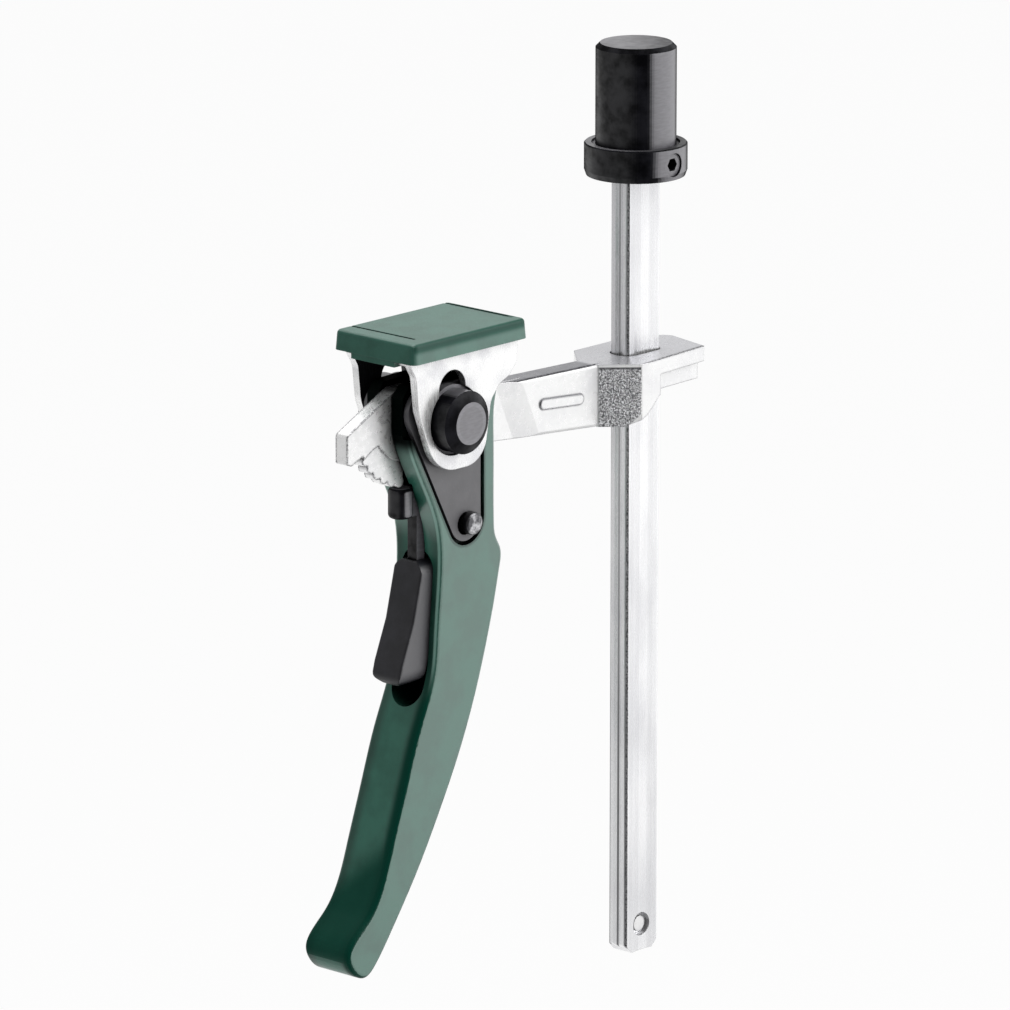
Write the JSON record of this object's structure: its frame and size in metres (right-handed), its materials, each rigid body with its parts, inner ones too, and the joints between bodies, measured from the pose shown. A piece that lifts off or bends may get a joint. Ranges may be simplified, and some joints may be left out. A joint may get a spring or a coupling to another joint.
{
  "type": "quick release bar clamp",
  "caption": "Table clamp with a round peg, a flat bar, a sliding arm and a ratchet lever that presses a levelling pad.",
  "frame": {"origin": "bar axis in the plane of the flange's seat, where the table's surface lies", "axes": "+Z along the peg, away from the bar; +X from the lever head towards the bar; -Y the side with the set screw"},
  "size_m": [0.1291, 0.0314, 0.2312],
  "materials": {
    "bright_bar": "bright drawn and plated steel",
    "black_steel": "blackened, satin",
    "forging": "bright plated forging, slightly rough",
    "bracket_sheet": "bright plated sheet",
    "green_casting": "green paint, satin",
    "green_plastic": "green, fine matt",
    "dark_plate": "dark phosphated steel",
    "black_plastic": "black, fine matt",
    "pin_steel": "plain steel",
    "bronze": "sintered bush"
  },
  "bodies": {
    "bar": {"clamp_bar": "bright_bar", "bench_peg": "black_steel", "grub_screw": "black_steel", "stop_pin": "pin_steel"},
    "arm": {"sliding_arm": "forging", "fulcrum_bush": "bronze"},
    "lever": {"lever_handle": "green_casting", "side_plate_near": "dark_plate", "side_plate_far": "dark_plate", "fulcrum_pin": "pin_steel", "fulcrum_washers": "pin_steel", "plate_rivet": "pin_steel", "pawl_guide_pin": "pin_steel", "trigger_pin": "pin_steel", "bracket_stud_near": "black_steel", "bracket_stud_far": "black_steel"},
    "bracket": {"pressure_bracket": "bracket_sheet", "pad_cap": "green_plastic"},
    "pawl": {"pawl_plunger": "black_steel", "pawl_link_pin": "pin_steel", "pawl_spring": "pin_steel"},
    "trigger": {"trigger": "black_plastic"}
  },
  "joints": [
    {"name": "arm_slide", "type": "slide", "parent": "bar", "child": "arm", "axis": [0, 0, 1], "range_m": [-0.134, 0.0435]},
    {"name": "lever_swing", "type": "hinge", "parent": "arm", "child": "lever", "pos_m": [-0.0835, 0, -0.0521], "axis": [0, 1, 0], "range_deg": [0, 50]},
    {"name": "bracket_level", "type": "hinge", "parent": "lever", "child": "bracket", "pos_m": [-0.0764, 0, -0.0546], "axis": [0, 1, 0], "range_deg": [-50, 0]},
    {"name": "trigger_press", "type": "hinge", "parent": "lever", "child": "trigger", "pos_m": [-0.0723, 0, -0.0935], "axis": [0, -1, 0], "range_deg": [0, 13]},
    {"name": "pawl_slide", "type": "slide", "parent": "lever", "child": "pawl", "axis": [0, 0, 1], "range_m": [-0.0015, 0], "stiffness_N_per_m": 600, "springref_m": 0.002, "deforming": ["pawl_spring"]}
  ],
  "couplings": [
    {"joint": "bracket_level", "follows": "lever_swing", "ratio": -1},
    {"joint": "trigger_press", "follows": "pawl_slide", "rad_per_m": -151.2}
  ]
}
